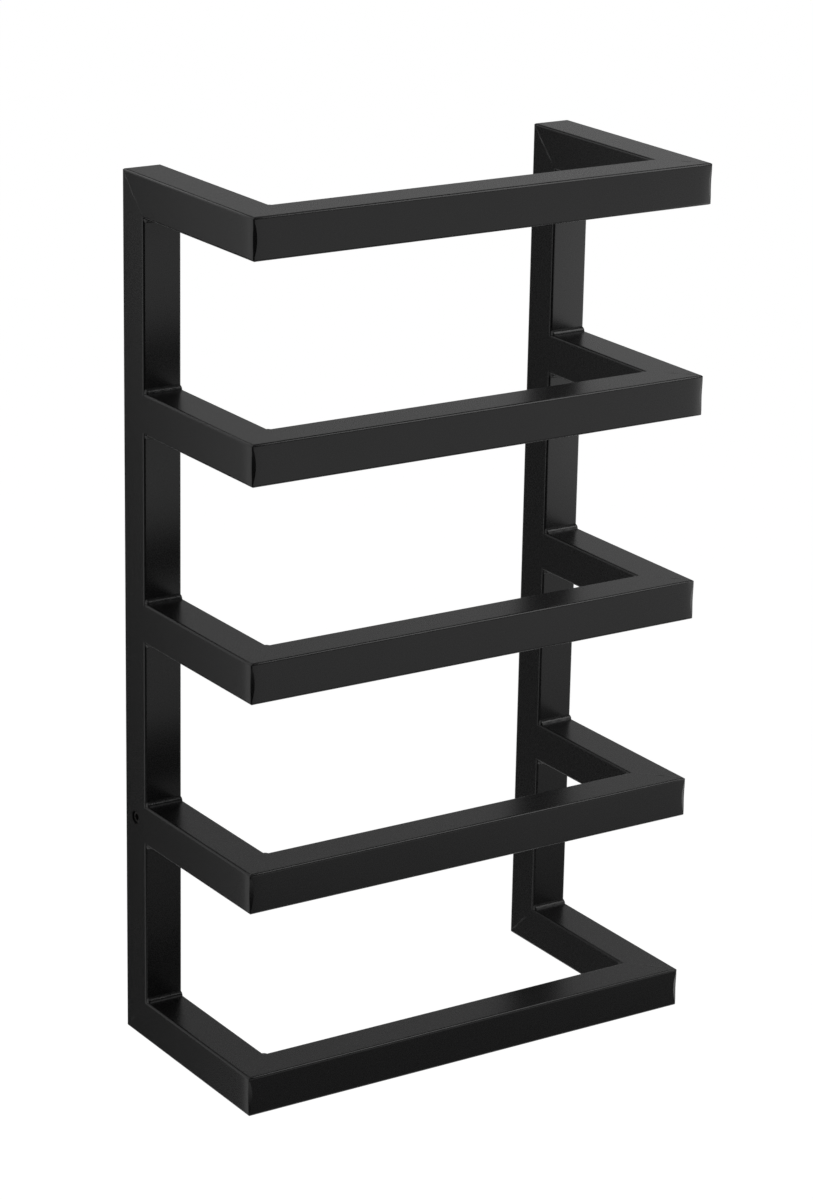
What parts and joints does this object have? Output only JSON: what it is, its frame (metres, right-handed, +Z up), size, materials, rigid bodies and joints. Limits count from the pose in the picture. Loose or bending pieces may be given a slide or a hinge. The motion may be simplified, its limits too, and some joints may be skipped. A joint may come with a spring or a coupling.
{
  "type": "wall-mounted towel rack",
  "caption": "Tall open wall rack of black square steel tube, with stacked U-shaped rails that hold rolled towels, hung on hidden wall hooks.",
  "frame": {"origin": "middle of the four wall fixing holes, on the wall plane", "axes": "+X to the right along the wall, +Y into the wall so that the rack stands out towards -Y, +Z up"},
  "size_m": [0.312, 0.149, 0.539],
  "materials": {
    "black_powder_coat": "satin black powder coat over welded steel tube",
    "zinc_plate": "zinc-plated steel",
    "black_oxide": "black oxide steel"
  },
  "bodies": {
    "wall_brackets": {"left_wall_hook": "zinc_plate", "right_wall_hook": "zinc_plate", "left_wall_post": "zinc_plate", "right_wall_post": "zinc_plate"},
    "rack": {"left_upright": "black_powder_coat", "right_upright": "black_powder_coat", "left_arm_1": "black_powder_coat", "front_bar_1": "black_powder_coat", "right_arm_1": "black_powder_coat", "left_arm_2": "black_powder_coat", "front_bar_2": "black_powder_coat", "right_arm_2": "black_powder_coat", "left_arm_3": "black_powder_coat", "front_bar_3": "black_powder_coat", "right_arm_3": "black_powder_coat", "left_arm_4": "black_powder_coat", "front_bar_4": "black_powder_coat", "right_arm_4": "black_powder_coat", "left_arm_5": "black_powder_coat", "front_bar_5": "black_powder_coat", "right_arm_5": "black_powder_coat", "left_arm_welds": "black_powder_coat", "right_arm_welds": "black_powder_coat", "corner_welds": "black_powder_coat"},
    "left_screw": {"left_grub_screw": "black_oxide"},
    "right_screw": {"right_grub_screw": "black_oxide"}
  },
  "joints": [
    {"name": "rack_lift", "type": "slide", "parent": "wall_brackets", "child": "rack", "axis": [0, 0, 1], "range_m": [0, 0.012]},
    {"name": "left_screw_out", "type": "slide", "parent": "rack", "child": "left_screw", "axis": [-1, 0, 0], "range_m": [0, 0.003]},
    {"name": "right_screw_out", "type": "slide", "parent": "rack", "child": "right_screw", "axis": [1, 0, 0], "range_m": [0, 0.003]}
  ]
}
